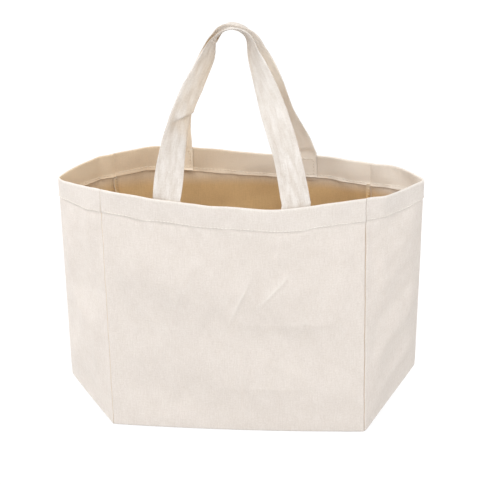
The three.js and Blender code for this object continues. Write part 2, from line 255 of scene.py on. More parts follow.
# A leg's points are (share of the loop's height, distance from the middle of the bag, turn in degrees).
# inner_wear is how much painted light a strap's inner face takes, and shade how much painted shade, as
# (distance from the top, shade).
FRONT_HANDLE = dict(
    name="front", side=FRONT, shift=-0.7, top=(-4, -10.8, 360.2), top_turn=-94, cup=0,
    left=[
        (0.23, 51.9, -30), (0.4, 47.5, -51), (0.5, 44.0, -54), (0.65, 34.7, -52),
        (0.82, 23.6, -67), (0.95, 16.4, -88),
    ],
    right=[(0.24, 46.4, -19), (0.49, 35.0, -18), (0.66, 26.8, -38), (0.83, 17.3, -59), (0.96, 10.4, -78)],
    seed=71, inner_wear=0.15,
    shade=[(-40, 0), (-30, 0.2), (-20, 1), (-10, 0.6), (-3, 0), (5, 0), (20, 0.25), (40, 0)],
)
REAR_HANDLE = dict(
    name="rear", side=BACK, shift=-3.5, top=(-8.9, 20.4, 350.8), top_turn=59, cup=3.8,
    left=[
        (0.1, 59.1, 27), (0.2, 56.6, 41), (0.36, 50.2, 54), (0.54, 41.2, 61),
        (0.72, 32.0, 62), (0.85, 23.8, 64), (0.95, 16.5, 67),
    ],
    right=[
        (0.16, 42.8, 18), (0.33, 35.1, 32), (0.58, 27.9, 41), (0.74, 21.2, 49),
        (0.85, 15.2, 55), (0.95, 8.1, 59),
    ],
    seed=83, inner_wear=1.0,
    shade=[(-46, 0), (-34, 0.2), (-22, 1), (-12, 0.7), (-4, 0), (60, 0), (82, 0.3), (100, 0.22), (118, 0)],
)
LEG_FOLD_SHADE = 0.3  # painted shade in the hollow below the fold in the front left leg
HOLLOW_PLACE, HOLLOW_WIDTH = -7, 4  # across the strap
HOLLOW_START, HOLLOW_END = (-4, 6), (-42, -8)  # along it, from the fold
STRAP_INNER_SHADE = 0.8  # how much of the painted inner shade the straps take, below the arch
ARCH_INNER_SHADE = 0.4  # share of that at the arch
ARCH_PAINTED_LIGHT = 0.25  # share of the painted light on the inner faces that is kept at the arch

# Sewing thread
STITCH_PITCH = 3.2
STITCH_GAP = 0.7
THREAD_RADIUS = 0.32
STITCH_STEP = 0.25
STITCH_RINGS, STITCH_SIDES = 7, 8
STITCH_FLATNESS = 0.8
STITCH_LIE, STITCH_DIVE = 0.75, 1.5  # height of a stitch's middle and drop of its ends, in radii
STITCH_TIP = 0.05  # how blunt its ends are
STITCH_SLIP, STITCH_WANDER = 0.15, 0.12  # how uneven the stitches are, along their line and across it
STITCH_RAISE = 0.7  # the hem stitches lie this far over the lip of the hem
HEM_STITCH_END = 3.2  # they end this far from the seams
HEM_STITCH_POINTS = 300
TAIL_STITCH_MARGIN = 2.5
TAIL_STITCH_RISE = 2.2  # the stitches of a strap end keep this far above the hem stitches
TAIL_STITCH_STEP = 0.5
ALLOWANCE_COLUMNS = 7
ALLOWANCE_WAVER = [(0.5, 7.0, 0), (0.35, 3.1, 1)]  # waves along a raw edge as (height, length, phase)
EDGE_POINTS = 60
OVERLOCK_PITCH = 2.6
OVERLOCK_REACH = 4.6
OVERLOCK_OVER = 0.35  # the thread goes round the raw edge this far beyond it
OVERLOCK_RADIUS, OVERLOCK_SIDES = 0.22, 6
OVERLOCK_CLEAR = 0.15  # the middle of the thread lies this far off the cloth
OVERLOCK_SQUARE = 0.4  # below 1 its turns go flat along the cloth
OVERLOCK_POINTS = 14
HEM_TUCK = 34  # a raw edge is tucked in under the hem over this length
TUCK_NARROW = 0.8
TUCK_LEAN = 2.5

# Colours
CANVAS_LIGHT = (0.82, 0.77, 0.728)
CANVAS_DARK = (0.667, 0.607, 0.552)
STRAP_LIGHT = (0.79, 0.752, 0.716)
STRAP_DARK = (0.585, 0.522, 0.46)
# seam allowances: the canvas made warmer, as painted shade for cloth that lies inside the bag
EDGE_LIGHT = (0.83, 0.77, 0.68)
EDGE_DARK = (0.68, 0.6, 0.5)
THREAD_LIGHT = (0.88, 0.85, 0.8)
THREAD_DARK = (0.74, 0.69, 0.62)
FLECK = (0.48, 0.36, 0.22)
INNER_SHADE_TINT = (0.94, 0.69, 0.36)  # painted warm shade on the inner side of the cloth, most of all deep down
HEM_INNER_SHADE = (0.55, 0.14)  # how much painted inner shade the inner side of the hem takes, at the left and at the right end
LEFT_TO_RIGHT = (-90, 90)  # x over which the inner hem's painted light and shade change from their left to their right amount
INNER_SHADE_DEPTH = (HEM - 1, HEM + 14)  # depth under the rim over which the full painted inner shade sets in
FACING = (-0.1, 0.4)  # how far a face has to turn inwards to take the painted inner shade, as a cosine
PALE_WEAR_AND_LIGHT = (0.96, 0.925, 0.875)  # rubbed wear, partly a painted highlight on the rim and crease backs, and painted light on the inner hem and straps
SHADE = (0.47, 0.34, 0.2)  # painted shade where the straps lie against each other, and under the fold in a leg
THROUGH = (0.81, 0.765, 0.70)  # light that comes through the cloth

# Weave; ranges are the noise values between which a look goes from none to all of it
THREAD_PITCH = 0.62
WEAVE_DEPTH = 0.08
WEAVE_RELIEF, YARN_RELIEF = 0.3, 2.4
LENGTHWISE = 0.6  # share of the lengthwise yarn in the streaks
WEFT_LENGTH = 0.7  # length of the crosswise streaks, as a share of the lengthwise ones
SPECKS = 0.45  # share of the specks in the mottling
SPECK_SIZE = (1.3, 1.5)
FLECK_SIZE = (1.6, 0.9)
PLY_SIZE = (0.4, 0.4, 0.9)
RUB_SIZE = (12, 12, 12)
YARN_RANGE = (0.36, 0.64)
FLECK_RANGE, FLECK_SHARE = (0.74, 0.8), 0.35
WIDE_RANGE = (0.3, 0.7)
CLOTH_ROUGHNESS = (0.96, 0.84)
THREAD_ROUGHNESS = (0.85, 0.65)


def smoothstep(value, low, high):
    t = np.clip((np.asarray(value, float) - low) / (high - low), 0, 1)
    return t * t * (3 - 2 * t)


def lerp(a, b, t):
    return a + (b - a) * t


def unit(vectors):
    vectors = np.asarray(vectors, float)
    return vectors / np.linalg.norm(vectors, axis=-1, keepdims=True)


def bell(value, middle, width):
    """1 at the middle, falling to nearly 0 at twice the width from it."""
    return np.exp(-((value - middle) / width) ** 2)


def waver(along, waves):
    return sum(height * np.sin(along / length + phase) for height, length, phase in waves)


def stack(*parts):
    """Joins arrays of coordinates, stretched to one shape, into points."""
    return np.stack(np.broadcast_arrays(*parts), axis=-1)


# Camera

def link(name, data):
    """A new object in the scene."""
    made = bpy.data.objects.new(name, data)
    bpy.context.scene.collection.objects.link(made)
    return made


def add_camera():
    data = bpy.data.cameras.new("camera")
    data.lens = CAMERA_LENS
    camera = link("camera", data)
    turns = ((CAMERA_AZIMUTH, "Z"), (90 - CAMERA_ELEVATION, "X"), (-CAMERA_ROLL, "Z"))
    azimuth, tilt, roll = (Matrix.Rotation(math.radians(angle), 4, axis) for angle, axis in turns)
    turn = azimuth @ tilt @ roll
    place = (Vector(CAMERA_AIM) + turn.col[2].xyz * CAMERA_DISTANCE) * MM
    camera.matrix_world = Matrix.Translation(place) @ turn
    bpy.context.scene.camera = camera


# Shader nodes

def add(tree, kind, inputs=None, **settings):
    """Adds a node; an input is a value, or the socket that feeds it."""
    made = tree.nodes.new(kind)
    for key, value in settings.items():
        setattr(made, key, value)
    for key, value in (inputs or {}).items():
        if isinstance(value, bpy.types.NodeSocket):
            tree.links.new(value, made.inputs[key])
        else:
            made.inputs[key].default_value = value
    return made


def attribute(tree, name, output="Fac"):
    return add(tree, "ShaderNodeAttribute", attribute_name=name).outputs[output]


def math_node(tree, operation, a, b=0.0):
    return add(tree, "ShaderNodeMath", {0: a, 1: b}, operation=operation).outputs[0]


def mix_value(tree, share, a, b):
    return add(tree, "ShaderNodeMix", {0: share, 2: a, 3: b}).outputs[0]


def mix_colour(tree, share, a, b, blend="MIX"):
    """Mixes two colours, each a socket or a plain (red, green, blue)."""
    a, b = (v if isinstance(v, bpy.types.NodeSocket) else (*v, 1) for v in (a, b))
    return add(tree, "ShaderNodeMix", {0: share, 6: a, 7: b}, data_type="RGBA", blend_type=blend).outputs[2]


def mix_shader(tree, share, a, b):
    return add(tree, "ShaderNodeMixShader", {0: share, 1: a.outputs[0], 2: b.outputs[0]})


def remap(tree, value, source, target):
    inputs = dict(zip(("From Min", "From Max", "To Min", "To Max"), (*source, *target)))
    return add(tree, "ShaderNodeMapRange", {"Value": value, **inputs}, clamp=True).outputs[0]


def noise(tree, place, across, along, deep=1000, detail=2.0, roughness=0.5):
    """Noise whose grains have the given size in millimetres."""
    scale = tuple(1 / (size * MM) for size in (across, along, deep))
    mapped = add(tree, "ShaderNodeMapping", {"Vector": place, "Scale": scale}).outputs[0]
    inputs = {"Vector": mapped, "Scale": 1.0, "Detail": detail, "Roughness": roughness}
    return add(tree, "ShaderNodeTexNoise", inputs).outputs[0]


def new_material(name):
    material = bpy.data.materials.new(name)
    material.use_nodes = True
    material.node_tree.nodes.clear()
    return material, material.node_tree


def cotton(
    name, light, dark, streak=(0.9, 9), contrast=0.8, through_share=0.15,
    blotch_size=(14, 19), blotches=0.11,
):
    """Plain woven cotton: crossing threads, uneven yarn both ways, specks, blotches and a few flecks.
    A streak of yarn is (thick, long) and a blotch is (wide, long)."""
    material, tree = new_material(name)
    place = attribute(tree, "cloth", "Vector")
    thick, long = streak
    warp = noise(tree, place, thick, long, detail=3)
    weft = noise(tree, place, WEFT_LENGTH * long, thick, detail=3)
    speck = noise(tree, place, *SPECK_SIZE, detail=3, roughness=0.65)
    blotch = noise(tree, place, *blotch_size, detail=4, roughness=0.6)
    fleck = noise(tree, place, *FLECK_SIZE, detail=1)
    # Colour
    yarn = mix_value(tree, LENGTHWISE, weft, warp)
    mottle = mix_value(tree, SPECKS, yarn, speck)
    tone = remap(tree, mottle, YARN_RANGE, (0.5 - contrast / 2, 0.5 + contrast / 2))
    tone = math_node(tree, "ADD", tone, remap(tree, blotch, WIDE_RANGE, (-blotches, blotches)))
    colour = mix_colour(tree, tone, dark, light)
    colour = mix_colour(tree, remap(tree, fleck, FLECK_RANGE, (0, FLECK_SHARE)), colour, FLECK)
    # paler with rubbed wear, painted highlight and painted light
    colour = mix_colour(tree, attribute(tree, "wear"), colour, PALE_WEAR_AND_LIGHT)
    # painted warm shade on faces inside the bag
    colour = mix_colour(tree, attribute(tree, "inside"), colour, INNER_SHADE_TINT, "MULTIPLY")
    # painted shade where the straps touch and in a fold's hollow
    colour = mix_colour(tree, attribute(tree, "shade"), colour, SHADE, "MULTIPLY")
    # Relief
    split = add(tree, "ShaderNodeSeparateXYZ", {0: place})
    turn = 2 * math.pi / (THREAD_PITCH * MM)
    over = math_node(tree, "SINE", math_node(tree, "MULTIPLY", split.outputs[0], turn))
    under = math_node(tree, "SINE", math_node(tree, "MULTIPLY", split.outputs[1], turn))
    weave = math_node(tree, "MULTIPLY", math_node(tree, "MULTIPLY", over, under), WEAVE_RELIEF)
    height = math_node(tree, "ADD", weave, math_node(tree, "MULTIPLY", mottle, YARN_RELIEF))
    bump = add(tree, "ShaderNodeBump", {"Height": height, "Strength": 0.6, "Distance": WEAVE_DEPTH * MM})
    shader = add(tree, "ShaderNodeBsdfPrincipled", {
        "Base Color": colour,
        "Roughness": remap(tree, mottle, WIDE_RANGE, CLOTH_ROUGHNESS),
        "Normal": bump.outputs[0],
        "Specular IOR Level": 0.25,
        "Sheen Weight": 0.12,
        "Sheen Roughness": 0.5,
    })
    lit = {"Color": (*THROUGH, 1), "Normal": bump.outputs[0]}
    both = mix_shader(tree, through_share, shader, add(tree, "ShaderNodeBsdfTranslucent", lit))
    add(tree, "ShaderNodeOutputMaterial", {0: both.outputs[0]})
    return material


def thread_material(name, light, dark):
    """Twisted cotton thread, with its plies and a slow change along it."""
    material, tree = new_material(name)
    place = add(tree, "ShaderNodeTexCoord").outputs["Object"]
    ply = noise(tree, place, *PLY_SIZE)
    rub = noise(tree, place, *RUB_SIZE)
    tone = math_node(tree, "MULTIPLY", math_node(tree, "ADD", ply, rub), 0.5)
    colour = mix_colour(tree, remap(tree, tone, WIDE_RANGE, (0, 1)), dark, light)
    # painted warm shade on thread inside the bag
    colour = mix_colour(tree, attribute(tree, "inside"), colour, INNER_SHADE_TINT, "MULTIPLY")
    bump = add(tree, "ShaderNodeBump", {"Height": ply, "Strength": 0.5, "Distance": 0.1 * MM})
    shader = add(tree, "ShaderNodeBsdfPrincipled", {
        "Base Color": colour,
        "Roughness": remap(tree, ply, WIDE_RANGE, THREAD_ROUGHNESS),
        "Normal": bump.outputs[0],
        "Sheen Weight": 0.15,
    })
    add(tree, "ShaderNodeOutputMaterial", {0: shader.outputs[0]})
    return material


canvas_cloth = cotton("canvas_cloth", CANVAS_LIGHT, CANVAS_DARK)
strap_cloth = cotton(
    "strap_cloth", STRAP_LIGHT, STRAP_DARK, streak=(1.0, 12), contrast=0.55, through_share=0.1,
    blotch_size=(5, 20), blotches=0.42,
)
edge_cloth = cotton("edge_cloth", EDGE_LIGHT, EDGE_DARK, streak=(0.7, 9))
sewing_thread = thread_material("sewing_thread", THREAD_LIGHT, THREAD_DARK)


# Meshes

def grid_faces(rows, columns, first=0):
    cell = np.arange((rows - 1) * (columns - 1))
    corner = first + (cell // (columns - 1)) * columns + cell % (columns - 1)
    return np.stack([corner, corner + 1, corner + columns + 1, corner + columns], axis=1)


def tube_faces(rows, around, first=0):
    """Faces between rows of points that each close to a ring, with a cap at each end."""
    turn = np.arange(around)
    faces = []
    for low in range(first, first + (rows - 1) * around, around):
        high = low + around
        faces += [(low + a, low + b, high + b, high + a) for a, b in zip(turn, np.roll(turn, -1))]
    faces.append(tuple(first + turn[::-1]))
    faces.append(tuple(first + (rows - 1) * around + turn))
    return faces


def new_object(name, points, faces, material, cloth=None, **marks):
    """A mesh from points in millimetres, with its flat places and its marks, such as wear and painted light,
    as attributes.
    """
    mesh = bpy.data.meshes.new(name)
    placed = settled(np.asarray(points).reshape(-1, 3))
    mesh.from_pydata((placed * MM).tolist(), [], [list(f) for f in faces])
    if cloth is not None:
        flat = np.zeros((len(mesh.vertices), 3), np.float32)
        flat[:, :2] = np.asarray(cloth).reshape(-1, 2) * MM
        mesh.attributes.new("cloth", "FLOAT_VECTOR", "POINT").data.foreach_set("vector", flat.ravel())
    for mark, values in marks.items():
        values = np.clip(np.asarray(values), 0, 1).astype(np.float32).ravel()
        mesh.attributes.new(mark, "FLOAT", "POINT").data.foreach_set("value", values)
    mesh.materials.append(material)
    return link(name, mesh)


def finish_surface(piece, sharp=SHARP):
    """Turns the faces of a closed mesh outwards and shades them smoothly."""
    work = bmesh.new()
    work.from_mesh(piece.data)
    bmesh.ops.recalc_face_normals(work, faces=work.faces)
    work.to_mesh(piece.data)
    work.free()
    mesh = piece.data
    mesh.polygons.foreach_set("use_smooth", np.ones(len(mesh.polygons), bool))
    mesh.set_sharp_from_angle(angle=math.radians(sharp))


def thicken(piece, thickness):
    """Gives a sheet its thickness, half to each side, as a closed mesh."""
    modifier = piece.modifiers.new("thickness", "SOLIDIFY")
    modifier.thickness = thickness * MM
    modifier.offset = 0
    solid = bpy.data.meshes.new_from_object(piece.evaluated_get(bpy.context.evaluated_depsgraph_get()))
    piece.modifiers.clear()
    piece.data = solid
    finish_surface(piece)


def paint_inner_shade(piece, towards=None, share=1.0):
    """Marks the faces that look into the bag, towards its upright middle line or in a given direction, for
    painted warm shade.
    They are marked more the deeper they lie under the hem."""
    mesh = piece.data
    place, normal = np.empty(3 * len(mesh.vertices)), np.empty(3 * len(mesh.vertices))
    mesh.vertices.foreach_get("co", place)
    mesh.vertex_normals.foreach_get("vector", normal)
    place = place.reshape(-1, 3) / MM
    inwards = -place * (1, 1, 0) if towards is None else np.array(towards, float)
    facing = smoothstep((normal.reshape(-1, 3) * unit(inwards)).sum(axis=1), *FACING)
    hem = lerp(*HEM_INNER_SHADE, smoothstep(place[:, 0], *LEFT_TO_RIGHT))
    inner_shade = lerp(hem, 1, smoothstep(RIM - place[:, 2], *INNER_SHADE_DEPTH))
    values = (share * facing * inner_shade).astype(np.float32)
    mesh.attributes.new("inside", "FLOAT", "POINT").data.foreach_set("value", values)


def sheet_piece(name, points, material, cloth, thickness=CANVAS, towards=None, **marks):
    """A panel of cloth from rows of points."""
    piece = new_object(name, points, grid_faces(*points.shape[:2]), material, cloth, **marks)
    thicken(piece, thickness)
    paint_inner_shade(piece, towards)
    return piece


def thread_object(name, points, faces, towards=None):
    piece = new_object(name, points, faces, sewing_thread)
    finish_surface(piece)
    paint_inner_shade(piece, towards)
    return piece


# Outline of the bag, as in the part

def half_width(z):
    return lerp(BOTTOM_WIDTH, TOP_WIDTH, z / RIM) / 2


def half_depth(z):
    return lerp(BOTTOM_DEPTH, TOP_DEPTH, z / RIM) / 2


def wall_points(side, across, z, lift):
    """Points of a wall; across runs from -1 to 1 and lift is how far a point stands out."""
    width = half_width(z)
    out = lerp(BASE_BOW, BOW[side], smoothstep(z / RIM, BOW_START, 1))
    slope = -2 * out * across / width
    length = np.hypot(slope, 1)
    x = across * width - slope / length * lift
    y = half_depth(z) + out * (1 - across ** 2) + lift / length
    return stack(x, side * y, z)


def seam_inwards(end, side):
    return unit((-end * SEAM_LEAN, -side, 0))


# How the cloth hangs in that outline

def through(places, x):
    """A smooth curve through the (x, value) pairs of places."""
    xs, values = (np.array(v, float) for v in zip(*places))
    slopes = np.gradient(values, xs)
    x = np.clip(x, xs[0], xs[-1])
    i = np.clip(np.searchsorted(xs, x, side="right") - 1, 0, len(xs) - 2)
    step = xs[i + 1] - xs[i]
    t = (x - xs[i]) / step
    rise = t * t * (3 - 2 * t)
    bend = t * (1 - t) * step
    return lerp(values[i], values[i + 1], rise) + bend * ((1 - t) * slopes[i] - t * slopes[i + 1])


def settled(points):
    """Moves points sideways, to where the seams and creases lie, with a slight waver along the seams."""
    points = np.array(points, float)
    x, z = points[..., 0], points[..., 2]
    height = np.clip(z / RIM, 0, 1)
    width = half_width(z)
    beyond = np.clip((np.abs(x) - width) / lerp(CREASE_OUT_FOLD, CREASE_OUT_TOP, height), 0, 1)
    for end in END_NAMES:
        seam = lerp(*SEAM_SHIFT[end], height) + waver(z, SEAM_WAVER) * (1 - beyond)
        shift = lerp(seam, lerp(*CREASE_SHIFT[end], height), beyond)
        share = smoothstep(np.abs(x) / width, SHIFT_START, 1)
        points[..., 0] += np.where(np.sign(x) == end, shift * share, 0)
    return points


def raised(z, rise):
    return z + rise * smoothstep(z, RIM - RIM_REACH, RIM)


def wall_rise(side, across):
    return through(RIM_RISE[side], across * TOP_WIDTH / 2)


# Folds and wrinkles

def ripples(a, b, seed, height, longest, shortest, count):
    """Gentle waves in scattered directions, the short ones lower."""
    draw = np.random.RandomState(seed)
    total = np.zeros(np.broadcast(a, b).shape)
    for k in range(count):
        length = longest * (shortest / longest) ** (k / (count - 1))
        direction, phase = draw.uniform(0, math.pi), draw.uniform(0, 2 * math.pi)
        along = a * math.cos(direction) + b * math.sin(direction)
        low = height * (length / longest) ** WAVE_FALL
        total = total + low * np.sin(2 * math.pi * along / length + phase)
    return total


def crease(a, b, start, end, width, height):
    """A ridge from start to end that fades out at both ends and is steeper on one side."""
    start, end = np.array(start, float), np.array(end, float)
    length = np.linalg.norm(end - start)
    run = (end - start) / length
    t = ((a - start[0]) * run[0] + (b - start[1]) * run[1]) / length
    off = (a - start[0]) * -run[1] + (b - start[1]) * run[0]
    wide = np.where(off > 0, width, CREASE_SLOPE * width)
    soft = CREASE_ROUND * wide
    ends = smoothstep(t, *CREASE_ENDS) * smoothstep(1 - t, *CREASE_ENDS)
    return height * np.exp((soft - np.hypot(off, soft)) / wide) * ends


def hem_line(along, seed):
    """Height of the hem stitches, which waver a little."""
    return HEM_STITCH + ripples(along, 0 * along, seed + HEM_LINE_SEED, *HEM_LINE_WAVES)


def hem_relief(along, z, seed, pull):
    """The hem stands out in a lip over its stitches; below them the cloth is drawn in and puckered."""
    off = z - hem_line(along, seed)
    lip = HEM_LIP * smoothstep(off, *LIP_RISE) * (1 - LIP_LOSS * smoothstep(off, *LIP_SETTLE))
    drawn = HEM_DRAWN * bell(off, DRAWN_PLACE, DRAWN_WIDTH)
    pucker = ripples(along + PUCKER_SLANT * off, 0 * z, seed, *PUCKER_WAVES)
    near = bell(off, PUCKER_PLACE, PUCKER_WIDTH)
    return lip - pull * (drawn * (1 + DRAWN_UNEVEN * pucker) + HEM_PUCKER * near * pucker)


# paler at the rim: rubbed wear with a painted highlight
def rim_wear(z):
    return RIM_WEAR * bell(z, RIM, RIM_WEAR_WIDTH)


def wall_wear(side, x, z):
    """Where a wall is paler: its rim and the backs of its creases, rubbed wear with a painted highlight."""
    total = rim_wear(z) + 0 * x
    for start, end, width, height in CREASES[side]:
        sharpness = smoothstep(height / width, *CREASE_SHARPNESS)
        total = total + CREASE_WEAR * sharpness * crease(x, z, start, end, CREASE_WEAR_WIDTH, 1)
    return total


def wall_lift(side, x, z):
    """How far a wall's cloth stands out from its plain curve."""
    hold = smoothstep(z, 0, WALL_STILL["base"]) * smoothstep(TOP_WIDTH / 2 - np.abs(x), 0, WALL_STILL["seam"])
    total = hold * ripples(x, z, WALL_SEED[side], *WALL_WAVES)
    for place in CREASES[side]:
        total = total + CREASE_LIFT * crease(x, z, *place) * smoothstep(z, 0, CREASE_FOOT)
    pull = WALL_PULL + TAIL_PULL * bell(np.abs(x), STRAP_SPREAD, TAIL_PULL_REACH)
    return total + hem_relief(x, z, WALL_HEM_SEED[side], pull)


def side_lift(end, along, z):
    """The same for a side, where along runs from its front seam to its back seam."""
    hold = smoothstep(z, 0, SIDE_STILL["base"])
    hold = hold * smoothstep(SIDE_WAVES_END - np.abs(along), 0, SIDE_STILL["seam"])
    hold = hold * smoothstep(np.abs(along), 0, SIDE_STILL["crease"])
    total = hold * (FACET_BOW + ripples(along, z, SIDE_SEED[end], *SIDE_WAVES))
    for place, width, height in SIDE_BANDS[end]:
        total = total + height * hold * bell(z, place, width)
    for place in SIDE_CREASES[end]:
        total = total + crease(along, z, *place)
    return total + hem_relief(along, z, SIDE_HEM_SEED[end], SIDE_PULL)


# Rows and columns shared by the panels

def roll_steps():
    """Distances from a panel's edge where it rolls into a seam, and how deep each lies, as a share."""
    q = np.linspace(0, 1, ROLL_ROWS)
    return SEAM_TRIM + SEAM_ROLL * q ** 2, (1 - q) ** 2


def edge_columns(half_length):
    """Places from -1 to 1 across a panel, with close columns where it rolls, and the depth share of each."""
    near, depth = roll_steps()
    count = 2 * int(round((half_length - near[-1]) / CELL))
    middle = np.linspace(near[-1] - half_length, half_length - near[-1], count + 1)[1:-1]
    places = np.concatenate([near - half_length, middle, half_length - near[::-1]]) / half_length
    return places, np.concatenate([depth, np.zeros(len(middle)), depth[::-1]])


def panel_rows():
    """Rows of a panel from its base to its rim, over it and down inside the hem: their heights and insets."""
    near, _ = roll_steps()
    radius = HEM_PITCH / 2
    start = near[-1] - SEAM_TRIM + FOOT
    low, high, top = HEM_STITCH - HEM_DETAIL, HEM_STITCH + HEM_DETAIL / 2, RIM - radius
    outer = np.concatenate([
        FOOT + near[:-1] - SEAM_TRIM,
        np.linspace(start, low, int((low - start) / CELL), endpoint=False),
        np.linspace(low, high, int((high - low) / FINE_CELL), endpoint=False),
        np.linspace(high, top, int((top - high) / CELL)),
    ])
    bend = np.linspace(0, math.pi, HEM_BEND_ROWS + 2)[1:-1]
    inner = np.linspace(top, RIM - HEM, HEM_INNER_ROWS)
    z = np.concatenate([outer, top + radius * np.sin(bend), inner])
    inset = np.concatenate([0 * outer, radius - radius * np.cos(bend), np.full(len(inner), HEM_PITCH)])
    return z[:, None], inset[:, None]


def seam_depths(end, z, inset):
    """How deep a panel's side edges lie at each row, with those of the hem's inner layer the other way."""
    outer = lerp(SEAM_DEPTH[end], HEM_SEAM_DEPTH, smoothstep(z, *HEM_SEAM_RANGE))
    return lerp(outer, INNER_SEAM_DEPTH, smoothstep(inset, 0, HEM_PITCH))


def cloth_places(x, z, inset):
    """Places on the flat cloth, which goes on over the rim."""
    return stack(x, np.where(inset > 0, 2 * RIM - z, z))


# Front and back walls

def wall_cloth(name, side):
    columns, edge_depth = edge_columns(TOP_WIDTH / 2)
    across = columns[None, :]
    z, inset = panel_rows()
    x = across * half_width(z)
    points = wall_points(side, across, z, wall_lift(side, x, z) - inset)
    points[..., 2] = raised(z, wall_rise(side, across))
    for end in END_NAMES:
        share = np.where(np.sign(across) == end, edge_depth[None, :], 0)
        points += (seam_depths(end, z, inset) * share)[..., None] * seam_inwards(end, side)
    _, depth = roll_steps()
    points[:ROLL_ROWS] += (BASE_SEAM_DEPTH * depth)[:, None, None] * unit((0, -side, 1))
    # painted light on the inner layer of the hem
    inner_wear = lerp(*HEM_PAINTED_LIGHT, smoothstep(x, *LEFT_TO_RIGHT)) * inset / HEM_PITCH
    wear = np.maximum(wall_wear(side, x, z + inset), inner_wear)
    cloth = cloth_places(x * BOW_STRETCH, z, inset)
    return sheet_piece(name, points, canvas_cloth, cloth, wear=wear)


# Sides: the crease leans out of the seams, and below its fold a triangle runs in to the base

def peak(across):
    """1 at the crease, 0 at both seams, and round at the crease."""
    top = math.hypot(1, CREASE_SOFTNESS)
    return (top - np.hypot(across, CREASE_SOFTNESS)) / (top - CREASE_SOFTNESS)


def peak_slope(across):
    return -across / np.hypot(across, CREASE_SOFTNESS) / (math.hypot(1, CREASE_SOFTNESS) - CREASE_SOFTNESS)


def side_points(end, across, seam_z, lift):
    """Points of a side; across runs from -1 at the front seam to 1 at the back seam."""
    climb = (seam_z - FOOT) / (RIM - FOOT)
    crease_z = lerp(FOLD[end], RIM, climb)
    out = lerp(CREASE_OUT_FOLD, CREASE_OUT_TOP, climb)
    share = peak(across)
    x = lerp(half_width(seam_z), half_width(crease_z) + out, share)
    y = across * half_depth(seam_z)
    slope = peak_slope(across) * out / half_depth(seam_z)
    length = np.hypot(slope, 1)
    points = stack(end * (x + lift / length), y - slope / length * lift, lerp(seam_z, crease_z, share))
    points[..., 2] += raised(seam_z, through(SIDE_RIM_RISE[end], across)) - seam_z
    return points


def fold_triangle(end, foot, edge_depth):
    """The triangle under a side's fold, in rows that shrink from the base to the fold, and its flat places.
    foot is the lowest row of the side."""
    middle = len(foot) // 2
    first, last = foot[:middle + 1], foot[::-1][:middle + 1]
    v = np.linspace(0, 1, int(BOTTOM_DEPTH / CELL))[None, :, None]
    points = lerp(first[:, None], last[:, None], v)
    width = BOTTOM_DEPTH * (v[..., 0] - 0.5)
    inner = smoothstep(BOTTOM_DEPTH / 2 - np.abs(width), 0, FOLD_SEAM_ENDS)
    sunk = FOLD_SEAM_DEPTH * edge_depth[:middle + 1, None] * inner
    points += sunk[..., None] * unit((-end, 0, 1))
    return points, stack(width, -np.linspace(0, CREASE_OUT_FOLD, middle + 1)[:, None])


def side_cloth(name, end):
    columns, edge_depth = edge_columns(SIDE_HALF)
    across = columns[None, :]
    along = across * SIDE_HALF
    z, inset = panel_rows()
    points = side_points(end, across, z, side_lift(end, along, z) - inset)
    for side in WALL_NAMES:
        share = np.where(np.sign(across) == side, edge_depth[None, :], 0)
        points += (seam_depths(end, z, inset) * share)[..., None] * seam_inwards(end, side)
    cloth = cloth_places(along, z, inset)
    under, under_cloth = fold_triangle(end, points[0], edge_depth)
    rows, under_rows = points.shape[:2], under.shape[:2]
    faces = np.concatenate([
        grid_faces(*rows),
        grid_faces(*under_rows, first=rows[0] * rows[1])[:, ::-1],
    ])
    every_point = np.concatenate([points.reshape(-1, 3), under.reshape(-1, 3)])
    every_cloth = np.concatenate([cloth.reshape(-1, 2), under_cloth.reshape(-1, 2)])
    wear = rim_wear(z) + SIDE_CREASE_WEAR * bell(along, 0, SIDE_CREASE_WEAR_WIDTH)
    # painted light on the inner layer of the hem
    wear = np.maximum(wear, np.mean(HEM_PAINTED_LIGHT) * inset / HEM_PITCH)
    wear = np.concatenate([wear.ravel(), np.zeros(under_rows[0] * under_rows[1])])
    piece = new_object(name, every_point, faces, canvas_cloth, every_cloth, wear=wear)
    soften_fold(piece, settled(points[0, ROLL_ROWS:-ROLL_ROWS]))
    thicken(piece, CANVAS)
    paint_inner_shade(piece)
    return piece


def soften_fold(piece, line):
    """Joins the two parts of a side and rounds the fold between them."""
    work = bmesh.new()
    work.from_mesh(piece.data)
    bmesh.ops.remove_doubles(work, verts=work.verts, dist=WELD * MM)
    bmesh.ops.dissolve_degenerate(work, edges=work.edges, dist=WELD * MM)
    bmesh.ops.recalc_face_normals(work, faces=work.faces)
    places = np.array([v.co for v in work.verts]) / MM
    close = np.zeros(len(places), bool)
    for p in line:
        close |= ((places - p) ** 2).sum(1) < FOLD_REACH ** 2
    border = np.array([v.is_boundary for v in work.verts])
    work.verts.ensure_lookup_table()
    chosen = [work.verts[i] for i in np.flatnonzero(close & ~border)]
    every_axis = dict(use_axis_x=True, use_axis_y=True, use_axis_z=True)
    for _ in range(FOLD_PASSES):
        bmesh.ops.smooth_vert(work, verts=chosen, factor=0.5, **every_axis)
    work.to_mesh(piece.data)
    work.free()


# Base

